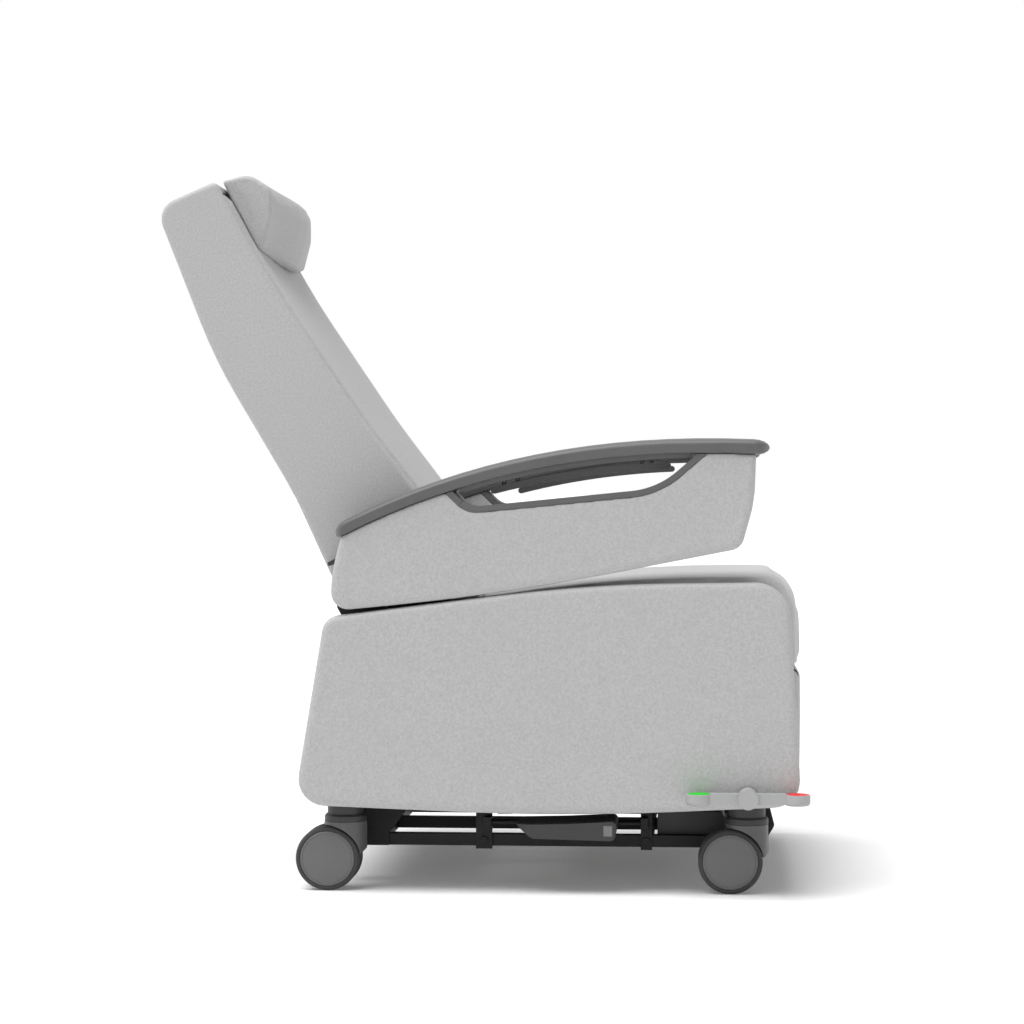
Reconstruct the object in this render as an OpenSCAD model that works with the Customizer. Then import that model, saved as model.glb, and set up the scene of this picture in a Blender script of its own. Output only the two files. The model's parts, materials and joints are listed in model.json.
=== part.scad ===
// Patient recliner on four twin-wheel casters: upholstered seat box, reclining back with
// a sliding headrest, two flip-up arms, a hinged footrest and a central wheel brake.
// +X is the chair's front, -Y its right side, +Z up. The floor is z = 0.

/* [Base] */
// Rearmost point of the side panels along X
base_x = -286; // [-300:1:-270]
// Length of the side panels
base_len = 789; // [770:1:800]
// Lowest point of the side panels over the floor
base_z = 118; // [114:1:122]
// Height of the side panels
base_h = 369; // [364:1:372]
// Half of the width over the side panels
half_w = 375; // [370:1:385]
// Thickness of an upholstered side panel
panel_t = 50; // [40:1:52]
// Rounding along the edges of the upholstered panels
edge_r = 9; // [5:0.5:12]

/* [Seat] */
// Rise of the seat cushion's middle over its edges
seat_crown = 9; // [4:0.5:12]
// Thickness of the seat cushion over the deck
seat_t = 88; // [80:1:95]
// Thickness of the seat deck
deck_t = 12; // [9:1:15]

/* [Back] */
// Half of the back's width
back_half = 280; // [265:1:281]
// Rise of the back cushion's middle over its seam
back_crown = 9; // [4:0.5:12]
// Depth of the back cushion into the back's body
back_pad_t = 48; // [35:1:55]
// Half of the headrest's width
head_half = 230; // [200:1:240]

/* [Arms] */
// Inner face of an arm panel, from the middle plane
arm_in = 297; // [296:0.5:300]
// Thickness of an arm panel
arm_t = 78; // [70:1:80]
// Width of an arm cap
cap_w = 92; // [84:1:94]
// Height of an arm cap's rim
cap_t = 24; // [20:0.5:27]
// Thickness of the liner round the hand opening
trim_t = 9.5; // [8:0.5:12]

/* [Casters] */
// Radius of a caster wheel
wheel_r = 50; // [46:0.5:52]
// Width of one of a caster's two wheels
wheel_w = 21; // [16:0.5:22]
// Distance from the swivel axis back to the wheel axle
trail = 26; // [20:0.5:30]
// Distance of the swivel axes from the middle plane
track_half = 320; // [316:1:322]
// Radius of a caster's housing
fork_r = 33; // [30:0.5:34]

/* [Brake] */
// Radius of the brake shafts
shaft_r = 7; // [6:0.5:8]
// Distance from the shaft to the middle of a pedal pad
pedal_reach = 75; // [68:1:80]
// Radius of a pedal pad
pad_r = 20; // [16:0.5:21]

/* [Footrest] */
// Thickness of the footrest pad
foot_t = 40; // [36:1:42]
// Height of the footrest pad's hinge over the floor
foot_hinge_z = 338; // [334:1:340]

/* [Hidden] */

$fn = 48;
seam = 0.3;         // gap between soft pieces that lie on each other
run = 0.05;         // radial running clearance of a shaft in its hole
play = 1;           // gap between plates that move past each other
over = 1;           // overrun of every cut
tiny_r = 2;         // rounding of small steel edges
small_r = 4;        // rounding of hidden edges
plate_r = 9;        // rounding of lever and plate ends

upholstery = "#b9bab9";
dark_steel = "#303030";
moulding = "#6b6c6d";
rubber = "#3c3c3d";
pale_plastic = "#a9aaaa";

// Places along X and Z that several pieces share
top_z = base_z + base_h;                // top of the side panels
recline_at = [-160, top_z - 25];        // axis of the back
lift_at = [-201, top_z - 18];           // axis of the arms
swing_r = 160;              // radius that the back's lower end stays inside
front_stem_x = 418;
rear_stem_x = -210;
shaft_z = 154.5;
foot_hinge_x = 488;
foot_hinge = [foot_hinge_x, foot_hinge_z];

// Ladder frame and seat frame
beam_w = 60;
beam_h = 35;
beam_z = 163;
rail_w = 30;
rail_y = 226;       // middle of the ladder's long tubes
post_w = 25;
tube_w = 25;
tube_h = 30;
tube_in = 291;      // inner face of the seat frame's long tubes
base_in = half_w - panel_t;
crown_gap = 4;      // seat cushion's edge under its level top
deck_z = base_z + base_h - seat_t - deck_t - crown_gap;   // underside of the deck
tube_z = deck_z - tube_h;
frame_rear = base_x + 54;
frame_front = 440;

// Shared geometry of outlines

function unit(v) = v / norm(v);
function turned(v, a) = [v[0] * cos(a) - v[1] * sin(a), v[0] * sin(a) + v[1] * cos(a)];
function flat2(p) = [p[0], p[1]];

// Vertices [x, z, radius, steps] from shares of a length and a height
function sized(shares, x0, z0, l, h) =
    [for (s = shares) [x0 + l * s[0], z0 + h * s[1], h * s[2], s[3]]];

// Vertices moved inwards by d, with the radii that keep the arcs concentric
function inset(p, d) =
    let (n = len(p))
    [for (i = [0 : n - 1])
        let (a = unit(flat2(p[i]) - flat2(p[(i + n - 1) % n])),
             b = unit(flat2(p[(i + 1) % n]) - flat2(p[i])),
             na = [-a[1], a[0]], nb = [-b[1], b[0]],
             m = (na + nb) * d / (1 + na * nb),
             bends_left = a[0] * b[1] - a[1] * b[0] > 0)
        [p[i][0] + m[0], p[i][1] + m[1],
         bends_left ? max(p[i][2] - d, 1) : p[i][2] + d, p[i][3]]];

// Arc of one vertex between its neighbours
function corner(a, b, c) =
    let (u = unit(flat2(a) - flat2(b)), v = unit(flat2(c) - flat2(b)),
         half = acos(u * v) / 2, r = b[2],
         hub = flat2(b) + unit(u + v) * r / sin(half),
         start = flat2(b) + u * r / tan(half) - hub,
         side = u[0] * v[1] - u[1] * v[0] < 0 ? 1 : -1)
    b[3] == 0 ? [flat2(b)] :
    [for (k = [0 : b[3]]) hub + turned(start, side * (180 - 2 * half) * k / b[3])];

function rounded(p) =
    let (n = len(p))
    [for (i = [0 : n - 1]) each corner(p[(i + n - 1) % n], p[i], p[(i + 1) % n])];

// Ring of points at one Y from an outline in X and Z
function ring_at(y, pts) = [for (q = pts) [q[0], y, q[1]]];

// Closed skin over rings that run from low Y to high Y, counter-clockwise seen along -Y
module loft(rings) {
    n = len(rings[0]);
    m = len(rings);
    sides = [for (i = [0 : m - 2], j = [0 : n - 1])
        let (a = i * n + j, b = i * n + (j + 1) % n, c = a + n, d = b + n)
        each [[a, b, d], [a, d, c]]];
    polyhedron([for (r = rings) each r],
        concat(sides, [[for (j = [n - 1 : -1 : 0]) j]],
            [[for (j = [0 : n - 1]) (m - 1) * n + j]]), convexity = 6);
}

// Plate with the outline pts between two values of Y
module plate(pts, y0, y1) {
    translate([0, y1, 0]) rotate([90, 0, 0]) linear_extrude(y1 - y0, convexity = 6) polygon(pts);
}

// Round bar or hole along Y
module along_y(at, r, y0, y1) {
    translate([at[0], y1, at[1]]) rotate([90, 0, 0]) cylinder(r = r, h = y1 - y0);
}

module block(low, high) {
    translate(low) cube(high - low);
}

// The same piece on both sides; side is -1 for the right (near) side and 1 for the left
module on_side(side) {
    if (side < 0) children(); else mirror([0, 1, 0]) children();
}

module both_sides() {
    on_side(-1) children();
    on_side(1) children();
}

// Upholstered panel on the right side: rounded edge towards the outside
module padded_panel(outline, y_out, t, e) {
    steps = 4;
    inner_e = e / 3;
    loft(concat(
        [for (k = [0 : steps]) let (a = 90 - 90 * k / steps)
            ring_at(y_out + e * (1 - sin(a)), rounded(inset(outline, e * (1 - cos(a)))))],
        [ring_at(y_out + t - inner_e, rounded(outline)),
         ring_at(y_out + t, rounded(inset(outline, inner_e)))]));
}

// Base

base_shares = [[0, 0.049, 0.114, 8], [0.534, 0.008, 10.8, 8], [0.9975, 0.057, 0.114, 8],
    [0.972, 0.99, 0.146, 10], [0.573, 0.982, 6.8, 10], [0.061, 0.84, 0.073, 6]];
function base_outline() = sized(base_shares, base_x, base_z, base_len, base_h);
hole_gap = 3;
shaft_hole_r = shaft_r + hole_gap;

module base_side() {
    difference() {
        padded_panel(base_outline(), -half_w, panel_t, edge_r);
        along_y([front_stem_x, shaft_z], shaft_hole_r, -half_w - over, -base_in + over);
        for (x = [front_stem_x, rear_stem_x]) translate([x, -track_half, base_z - over])
            cylinder(r = neck_r + play, h = beam_z - base_z + over + play);
    }
}
module base_side_right() {
    color(upholstery) on_side(-1) base_side();
}
module base_side_left() {
    color(upholstery) on_side(1) base_side();
}

// Rear cover between the side panels, just inside their rear edges
rear_cover_t = 8;
rear_cover_in = [8.5, 47.5];            // foot and top behind the panels' rear edge
rear_cover_shares = [0.14, 0.785];
module base_rear_cover() {
    foot = [base_x + rear_cover_in[0], base_z + base_h * rear_cover_shares[0]];
    top = [base_x + rear_cover_in[1], base_z + base_h * rear_cover_shares[1]];
    color(upholstery)
    plate([foot, foot + [rear_cover_t, 0], top + [rear_cover_t, 0], top], -base_in, base_in);
}

// Ladder frame: two cross beams, two long tubes and four outriggers
post_x = [-175, 352];
module chassis_frame() {
    top = beam_z + beam_h;
    rail_out = rail_y + rail_w / 2;
    color(dark_steel) {
        for (x = [rear_stem_x, front_stem_x])
            block([x - beam_w / 2, -base_in, beam_z], [x + beam_w / 2, base_in, top]);
        both_sides() mirror([0, 1, 0]) {
            block([rear_stem_x + beam_w / 2, rail_y - rail_w / 2, beam_z],
                  [front_stem_x - beam_w / 2, rail_out, top]);
            for (x = post_x) block([x, rail_out, beam_z], [x + post_w, base_in, top]);
        }
    }
}

// Four posts that carry the seat frame on the ladder frame
module seat_posts() {
    color(dark_steel) both_sides() mirror([0, 1, 0])
        for (x = post_x) block([x, tube_in, beam_z + beam_h], [x + post_w, base_in, tube_z]);
}

// Seat frame of rectangular tube with its cross members
cross_shares = [0, 0.4513, 0.7295, 1];
module seat_frame() {
    color(dark_steel) {
        both_sides() mirror([0, 1, 0])
            block([frame_rear, tube_in, tube_z], [frame_front, base_in, tube_z + tube_h]);
        for (s = cross_shares) let (x = frame_rear + (frame_front - tube_w - frame_rear) * s)
            block([x, -tube_in, tube_z], [x + tube_w, tube_in, tube_z + tube_h]);
    }
}

deck_rear = 40;
deck_reach = 4;
module seat_deck() {
    color("#8b6f4d")
    block([deck_rear, -base_in, deck_z], [frame_front + deck_reach, base_in, deck_z + deck_t]);
}

// Seat cushion: level top, waterfall front and an apron down to the footrest
seat_front = 496;
apron_t = 47;
apron_gap = 14;
apron_z = foot_hinge_z + apron_gap;
apron_lean = 4;
seat_half = base_in - play;
seat_rear_x = recline_at[0] + swing_r + 4 * play;
seat_rear_share = 0.91;
seat_front_r = 54;
seat_top_r = 2200;
seat_rear_r = 12;
seat_bend_share = 0.573;
front_bow = 0.9;        // bow of the front for each unit of crown
function seat_outline(c) = [
    [seat_rear_x, deck_z + deck_t, small_r, 2],
    [seat_front - apron_t, deck_z + deck_t, small_r, 2],
    [seat_front - apron_t, apron_z, small_r, 2],
    [seat_front + c * front_bow, apron_z, small_r, 3],
    [seat_front - apron_lean + c * front_bow, base_z + base_h + c, seat_front_r, 10],
    [base_x + seat_bend_share * base_len, base_z + base_h + c, seat_top_r, 6],
    [seat_rear_x, base_z + seat_rear_share * base_h + c * 0.8, seat_rear_r, 4]];
seat_pull = 8;
cushion_stations = [-1, -0.985, -0.95, -0.86, -0.62, -0.32, 0, 0.32, 0.62, 0.86, 0.95, 0.985, 1];
cushion_pulls = [1, 0.45, 0.12, 0, 0, 0, 0, 0, 0, 0, 0.12, 0.45, 1];
module seat_cushion() {
    color(upholstery)
    loft([for (i = [0 : len(cushion_stations) - 1])
        let (s = cushion_stations[i])
        ring_at(s * seat_half, rounded(inset(seat_outline(seat_crown * (1 - s * s)),
            seat_pull * cushion_pulls[i])))]);
}

// Steel side plates that carry the back and the arms
plate_in = 285;
plate_t = tube_in - plate_in;
plate_len = 218;
plate_h = 146;
plate_shares = [[0.972, 0, 0.055, 3], [1, 0.59, 0.164, 5], [0.422, 0.952, 0.178, 6],
    [0.0046, 1, 0.19, 8], [0.018, 0.6, 0.1, 3]];
plate_foot_share = 0.33;
module side_plate() {
    heel_x = frame_rear + tube_w + play;
    outline = rounded(concat([[heel_x, tube_z, small_r, 2]],
        sized(plate_shares, frame_rear, tube_z, plate_len, plate_h),
        [[heel_x, tube_z + plate_h * plate_foot_share, 3 * small_r, 3]]));
    difference() {
        plate(outline, -tube_in, -plate_in);
        along_y(recline_at, pin_r, -tube_in - over, -plate_in + over);
        along_y(lift_at, pin_r, -tube_in - over, -plate_in + over);
    }
}
module side_plate_right() {
    color(dark_steel) on_side(-1) side_plate();
}
module side_plate_left() {
    color(dark_steel) on_side(1) side_plate();
}

// Pins of the back and of the arms, pressed into the side plates
pin_r = 8;
head_r = 12;
head_t = 3;
back_plate_t = 8;
arm_plate_in = tube_in + play;          // inner face of the arm's steel plate
pin_end = arm_in - seam;
stop_r = 5;
stop_off = [52, -22];
stop_at = lift_at + stop_off;           // stop pin under the arm's steel plate
module pivot_pins() {
    color("#8d8f91") both_sides() {
        along_y(recline_at, pin_r, -tube_in, -back_half + back_plate_t + play);
        along_y(lift_at, pin_r, -pin_end, -plate_in);
        along_y(lift_at, head_r, -plate_in, -plate_in + head_t);
        along_y(stop_at, stop_r, -pin_end, -tube_in);
    }
}

// Underframe rails, their drop brackets and hangers
low_z = 57;
low_h = 19;
low_out = 229;
low_cross_x = 251;
module underframe_rails() {
    rear = rear_stem_x + beam_w / 2;
    front = front_stem_x - beam_w / 2;
    color(dark_steel) {
        both_sides() block([rear - beam_w, -low_out, low_z], [front, -low_out + low_h, low_z + low_h]);
        block([rear, -low_h / 2, low_z], [front, low_h / 2, low_z + low_h]);
        for (x = [rear, low_cross_x])
            block([x, -low_out + low_h, low_z], [x + low_h, low_out - low_h, low_z + low_h]);
    }
}
drop_t = 6;
rear_drop_len = 115;
rear_drop_shares = [[0, 1, 0, 0], [0, 0, 0, 0], [0.765, 0, 0, 0], [0.765, 0.189, 0, 0],
    [1, 0.519, 0.08, 3], [1, 1, 0, 0]];
front_drop_len = 75;
front_drop_shares = [[0, 1, 0, 0], [0, 0, 0, 0], [0.693, 0, 0, 0], [0.853, 0.17, 0, 0],
    [1, 0.349, 0.08, 3], [0.893, 0.642, 0.08, 3], [0.8, 1, 0, 0]];
hanger_x = [-12, 251];
hanger_w = [26, 18];
bolt_r = 4;
bolt_head_r = 6.5;
bolt_head_h = 5;
bolt_z = low_z + low_h / 2;
pedal_axis_z = 97;
module drop_bracket(shares, x, l) {
    difference() {
        plate(rounded(sized(shares, x - beam_w / 2, low_z, l, beam_z - low_z)),
            -low_out - drop_t, -low_out);
        along_y([x, shaft_z], shaft_hole_r, -low_out - drop_t - over, -low_out + over);
    }
}
module hanger_brackets() {
    color(dark_steel) both_sides() {
        drop_bracket(rear_drop_shares, rear_stem_x, rear_drop_len);
        drop_bracket(front_drop_shares, front_stem_x, front_drop_len);
        for (i = [0, 1]) difference() {
            block([hanger_x[i], -low_out - drop_t, low_z - small_r],
                [hanger_x[i] + hanger_w[i], -low_out, beam_z]);
            along_y([hanger_x[i] + hanger_w[i] / 2, bolt_z], bolt_r,
                -low_out - drop_t - over, -low_out + over);
        }
    }
}

module frame_bolts() {
    color("#55575a") both_sides() for (i = [0, 1]) {
        at = [hanger_x[i] + hanger_w[i] / 2, bolt_z];
        along_y(at, bolt_head_r, -low_out - drop_t - bolt_head_h, -low_out - drop_t, $fn = 6);
        along_y(at, bolt_r, -low_out - drop_t, -low_out);
    }
}

linkage_x = 277;
linkage_len = 107;
linkage_h = 55;
linkage_r = 10;
linkage_shares = [[0, 0], [1, 0], [1, 1], [0, 1]];
module linkage_cover() {
    pts = rounded([for (s = linkage_shares)
        [linkage_x + linkage_len * s[0], low_z + linkage_h * s[1], linkage_r, 5]]);
    color("#262626") difference() {
        plate(pts, -low_out + low_h, low_out - low_h);
        block([linkage_x - over, -low_h / 2, low_z - over],
            [linkage_x + linkage_len + over, low_h / 2, low_z + low_h]);
    }
}

// Caster sockets on the beams: neck, swivel ring, bores for the stem and the brake shaft
neck_r = 28.5;
ring_z = 107.5;
ring_h = 11;
ring_bevel = 3;
stem_r = 10;
stem_top = 138;
module caster_socket(x) {
    bevel = fork_r - ring_bevel;
    difference() {
        translate([x, -track_half, 0]) {
            translate([0, 0, ring_z + ring_h]) cylinder(r = neck_r, h = beam_z - ring_z - ring_h);
            translate([0, 0, ring_z]) rotate_extrude(convexity = 4)
                polygon([[0, 0], [fork_r, 0], [fork_r, ring_h - ring_bevel], [bevel, ring_h], [0, ring_h]]);
        }
        translate([x, -track_half, ring_z - over])
            cylinder(r = stem_r + run, h = stem_top + play - ring_z + over);
        along_y([x, shaft_z], shaft_r + run, -track_half - fork_r, -track_half + fork_r);
    }
}
module caster_sockets() {
    color(dark_steel) both_sides() for (x = [front_stem_x, rear_stem_x]) caster_socket(x);
}

// Swivelling fork of a caster, in place on the right side
swivel_gap = 0.5;
fork_top = ring_z - swivel_gap;
fork_foot = 53;
chamfer = 11;
web_half = 5;
web_r = 11;
axle_r = 5;
wheel_gap = 1;
wheel_clear = 1.5;
module caster_fork(x) {
    web = rounded([[-trail - web_r, wheel_r - web_r, plate_r, 4],
        [-trail + web_r, wheel_r - web_r, plate_r, 4],
        [fork_r - chamfer, fork_foot, tiny_r, 2], [fork_r, fork_foot + chamfer, tiny_r, 2],
        [fork_r, fork_top, 0, 0], [-fork_r, fork_top, 0, 0], [-trail - web_r, wheel_r + web_r, plate_r, 4]]);
    translate([x, -track_half, 0]) difference() {
        union() {
            difference() {
                translate([0, 0, fork_foot]) cylinder(r = fork_r, h = fork_top - fork_foot);
                for (s = [-1, 1]) scale([1, s, 1]) translate([-trail, web_half + fork_r, wheel_r])
                    rotate([90, 0, 0]) cylinder(r = wheel_r + wheel_clear, h = fork_r, $fn = 72);
                translate([fork_r, 0, fork_foot]) rotate([0, 45, 0])
                    cube([chamfer * sqrt(2), 3 * fork_r, chamfer * sqrt(2)], center = true);
            }
            intersection() {
                plate(web, -web_half, web_half);
                translate([-trail - fork_r, -fork_r, 0]) cube([2 * fork_r + trail, 2 * fork_r, fork_top]);
            }
            translate([0, 0, fork_top - over]) cylinder(r = stem_r, h = stem_top - fork_top + over);
        }
        along_y([-trail, wheel_r], axle_r + run, -web_half - over, web_half + over);
    }
}

// Twin rims on their axle, and the tyres
tyre_t = 7;
rim_r = wheel_r - tyre_t;
rim_in = web_half + wheel_gap;
rim_out = rim_in + wheel_w + 3;
module caster_rims(x) {
    half = [[0, rim_in], [rim_r - 4, rim_in], [rim_r, rim_in + 1], [rim_r, rim_out - 2.5],
        [rim_r - 2, rim_out - 1], [rim_r - 3.5, rim_out - 1], [rim_r - 4, rim_out - 1.6],
        [rim_r - 4.6, rim_out - 1], [rim_r * 0.5, rim_out - 0.2], [0, rim_out]];
    translate([x - trail, -track_half, wheel_r]) rotate([90, 0, 0]) {
        for (s = [0, 1]) mirror([0, 0, s]) rotate_extrude(convexity = 4, $fn = 72) polygon(half);
        cylinder(r = axle_r, h = 2 * rim_in + 2, center = true);
    }
}
module caster_tyres(x) {
    tread = rounded([[rim_r, rim_in + 1, 1, 1], [wheel_r, rim_in + 1, 5, 4],
        [wheel_r, rim_out - 1.5, 5.5, 4], [rim_r, rim_out - 1.5, 1, 1]]);
    translate([x - trail, -track_half, wheel_r]) rotate([90, 0, 0])
        for (s = [0, 1]) mirror([0, 0, s]) rotate_extrude(convexity = 4, $fn = 72) polygon(tread);
}
module caster_fork_fl() { color("#66676a") on_side(1) caster_fork(front_stem_x); }
module caster_fork_fr() { color("#66676a") on_side(-1) caster_fork(front_stem_x); }
module caster_fork_rl() { color("#66676a") on_side(1) caster_fork(rear_stem_x); }
module caster_fork_rr() { color("#66676a") on_side(-1) caster_fork(rear_stem_x); }
module caster_rims_fl() { color("#727375") on_side(1) caster_rims(front_stem_x); }
module caster_rims_fr() { color("#727375") on_side(-1) caster_rims(front_stem_x); }
module caster_rims_rl() { color("#727375") on_side(1) caster_rims(rear_stem_x); }
module caster_rims_rr() { color("#727375") on_side(-1) caster_rims(rear_stem_x); }
module caster_tyres_fl() { color(rubber) on_side(1) caster_tyres(front_stem_x); }
module caster_tyres_fr() { color(rubber) on_side(-1) caster_tyres(front_stem_x); }
module caster_tyres_rl() { color(rubber) on_side(1) caster_tyres(rear_stem_x); }
module caster_tyres_rr() { color(rubber) on_side(-1) caster_tyres(rear_stem_x); }

// Brake: two cross shafts, cranks, a rod between them, pedals outside the panels
crank_r = 30;
crank_t = 8;
crank_y = 60;
crank_hub = shaft_r + play;
crank_web = 12;
crank_pin_r = 5;
rod_gap = 0.3;
rod_h = 16;
rod_eye_r = 11;
pedal_gap = 3;
pedal_w = 42;
pedal_in = half_w + pedal_gap;
pedal_out = pedal_in + pedal_w;
pedal_bore = 10;
module crank(x) {
    y1 = crank_y + crank_t;
    along_y([x, shaft_z], crank_hub, crank_y, y1);
    along_y([x, shaft_z - crank_r], plate_r, crank_y, y1);
    block([x - crank_web / 2, crank_y, shaft_z - crank_r], [x + crank_web / 2, y1, shaft_z]);
    along_y([x, shaft_z - crank_r], crank_pin_r, y1, y1 + crank_t + 2 * play);
}
module brake_shaft_front() {
    color("#77797b") {
        along_y([front_stem_x, shaft_z], shaft_r, -pedal_in - pedal_bore, pedal_in + pedal_bore);
        crank(front_stem_x);
    }
}
module brake_shaft_rear() {
    color("#77797b") {
        along_y([rear_stem_x, shaft_z], shaft_r, -track_half - neck_r, track_half + neck_r);
        crank(rear_stem_x);
    }
}
module brake_rod() {
    y0 = crank_y + crank_t + play;
    z = shaft_z - crank_r;
    color("#77797b") difference() {
        union() {
            block([rear_stem_x, y0, z - rod_h / 2], [front_stem_x, y0 + crank_t, z + rod_h / 2]);
            for (x = [rear_stem_x, front_stem_x]) along_y([x, z], rod_eye_r, y0, y0 + crank_t);
        }
        along_y([front_stem_x, z], crank_pin_r + run, y0 - over, y0 + crank_t + over);
        along_y([rear_stem_x, z], crank_pin_r + rod_gap, y0 - over, y0 + crank_t + over);
    }
}

// Pedal in place on the right side: hub disc, bar and two round cups
hub_r = 15.5;
hub_rise = 7;
bar_h = 16;
bar_wide = 22;
cup_h = 17;
cup_rise = 7;
cup_lip = 2;
cup_r = 5;
pad_t = 2;
pad_dome = 1.2;
pedal_y = -(pedal_in + pedal_out) / 2;
module brake_pedal() {
    cup = [[0, -cup_h, 0, 0], [pad_r, -cup_h, cup_r, 5], [pad_r, 0, cup_lip / 2, 2],
        [pad_r - cup_lip, 0, 0, 0], [pad_r - cup_lip, -pad_t, 0, 0], [0, -pad_t, 0, 0]];
    difference() {
        union() {
            block([front_stem_x - pedal_reach, pedal_y - bar_wide / 2, shaft_z - bar_h / 2],
                  [front_stem_x + pedal_reach, pedal_y + bar_wide / 2, shaft_z + bar_h / 2]);
            along_y([front_stem_x, shaft_z], hub_r, pedal_y - bar_wide / 2 - hub_rise, -pedal_in);
            for (s = [-1, 1]) translate([front_stem_x + s * pedal_reach, pedal_y, shaft_z + cup_rise])
                rotate_extrude(convexity = 4) polygon(rounded(cup));
        }
        along_y([front_stem_x, shaft_z], shaft_r, -pedal_in - pedal_bore, -pedal_in + over);
        for (s = [-1, 1]) translate([front_stem_x + s * pedal_reach, pedal_y, shaft_z + cup_rise - pad_t])
            cylinder(r = pad_r - cup_lip, h = bar_h);
    }
}
module brake_pedal_right() { color(pale_plastic) on_side(-1) brake_pedal(); }
module brake_pedal_left() { color(pale_plastic) on_side(1) brake_pedal(); }
module brake_pads(s) {
    r = pad_r - cup_lip;
    both_sides() translate([front_stem_x + s * pedal_reach, pedal_y, shaft_z + cup_rise - pad_t])
        rotate_extrude() polygon([[0, 0], [r, 0], [r, pad_t], [r - pad_dome, pad_t + pad_dome / 2],
            [0, pad_t + pad_dome]]);
}
module brake_pads_green() { color("#2fd22a") brake_pads(-1); }
module brake_pads_red() { color("#e8322e") brake_pads(1); }

// Release pedals under the side panels, on rods between the hangers
foot_x = 64;
foot_len = 152;
foot_low = 85;
foot_h = 26;
foot_tip = 372;
foot_margin = 6;
foot_shares = [[-0.013, 0.77, 0.115, 3], [0.14, 0.077, 0.615, 5], [0.987, -0.038, 0.346, 6],
    [1.007, 1.115, 0.308, 6], [0.5, 0.96, 11.5, 5], [-0.026, 0.885, 0.058, 2]];
foot_rear_r = 34;
foot_nose_r = 16;
pedal_rod_r = 5;
pedal_rod_y = 246;
sleeve_r = 9;
sleeve_len = 18;
sleeve_shares = [0.17, 0.76];
sleeve_web = 12;
end_t = 12;
module rod_between(x0, x1, r) {
    translate([x0, -pedal_rod_y, pedal_axis_z]) rotate([0, 90, 0]) cylinder(r = r, h = x1 - x0);
}
module pedal_rods() {
    rear = hanger_x[0] + hanger_w[0] - end_t;
    front = hanger_x[1];
    color("#55575a") both_sides() {
        rod_between(rear, front + end_t, pedal_rod_r);
        for (x = [rear, front])
            block([x, -pedal_rod_y - sleeve_r, pedal_axis_z - sleeve_r],
                  [x + end_t, -low_out - drop_t, pedal_axis_z + sleeve_r]);
    }
}
module foot_pedal() {
    x0 = foot_x - foot_margin;
    x1 = foot_x + foot_len + foot_margin;
    plan = [[x0, -foot_tip, foot_rear_r, 7], [x1, -foot_tip, foot_nose_r, 7], [x1, -pedal_rod_y, 0, 0],
        [x0, -pedal_rod_y, 0, 0]];
    difference() {
        union() {
            intersection() {
                plate(rounded(sized(foot_shares, foot_x, foot_low, foot_len, foot_h)),
                    -foot_tip, -pedal_rod_y - sleeve_r - hole_gap);
                translate([0, 0, foot_low - foot_h]) linear_extrude(3 * foot_h) polygon(rounded(plan));
            }
            for (s = sleeve_shares) let (x = foot_x + foot_len * s) {
                rod_between(x, x + sleeve_len, sleeve_r);
                block([x, -pedal_rod_y - sleeve_r - 2 * hole_gap, pedal_axis_z - sleeve_web / 2],
                    [x + sleeve_len, -pedal_rod_y, pedal_axis_z + sleeve_web / 2]);
            }
        }
        rod_between(foot_x - foot_len, foot_x + 2 * foot_len, pedal_rod_r + run);
        block([insert_x, -foot_tip - over, insert_z],
            [insert_x + insert_w, -foot_tip + insert_t, insert_z + insert_h]);
    }
}
insert_x = 196;
insert_z = 91;
insert_w = 14;
insert_h = 17;
insert_t = 6;
insert_sunk = 0.5;
module pedal_insert() {
    block([insert_x, -foot_tip + insert_sunk, insert_z],
        [insert_x + insert_w, -foot_tip + insert_t, insert_z + insert_h]);
}
module foot_pedal_right() { color(moulding) on_side(-1) foot_pedal(); }
module foot_pedal_left() { color(moulding) on_side(1) foot_pedal(); }
module pedal_insert_right() { color(pale_plastic) on_side(-1) pedal_insert(); }
module pedal_insert_left() { color(pale_plastic) on_side(1) pedal_insert(); }

// Footrest: brackets on the seat frame, steel board, pad with a round nose at the hinge
foot_bottom = 140;
side_gap = 4;
foot_half = seat_half - side_gap;
hinge_y = 306;
hinge_t = 6;
hinge_pin_r = 6;
hinge_half = 10;
hinge_back = 24;
nose_r = 12;
foot_front = foot_hinge_x + nose_r;
foot_back = foot_front - foot_t;
module footrest_hinges() {
    low = foot_hinge_z - hinge_half;
    outline = rounded([[frame_front - hinge_back, tube_z, 0, 0], [frame_front - hinge_back, low, small_r, 3],
        [foot_hinge_x + plate_r, low, plate_r, 6], [foot_hinge_x + plate_r, low + 2 * hinge_half, plate_r, 6],
        [frame_front, low + 2 * hinge_half, small_r, 3], [frame_front, tube_z, 0, 0]]);
    color(dark_steel) both_sides() {
        plate(outline, -hinge_y - hinge_t, -hinge_y);
        along_y(foot_hinge, hinge_pin_r, -hinge_y, -hinge_y + hinge_t + 2 * play);
    }
}
board_t = 4;
board_arm_t = 5;
board_arm_h = 60;
board_top = 30;
board_foot = 14;
arm_shoulder = 8;
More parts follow.
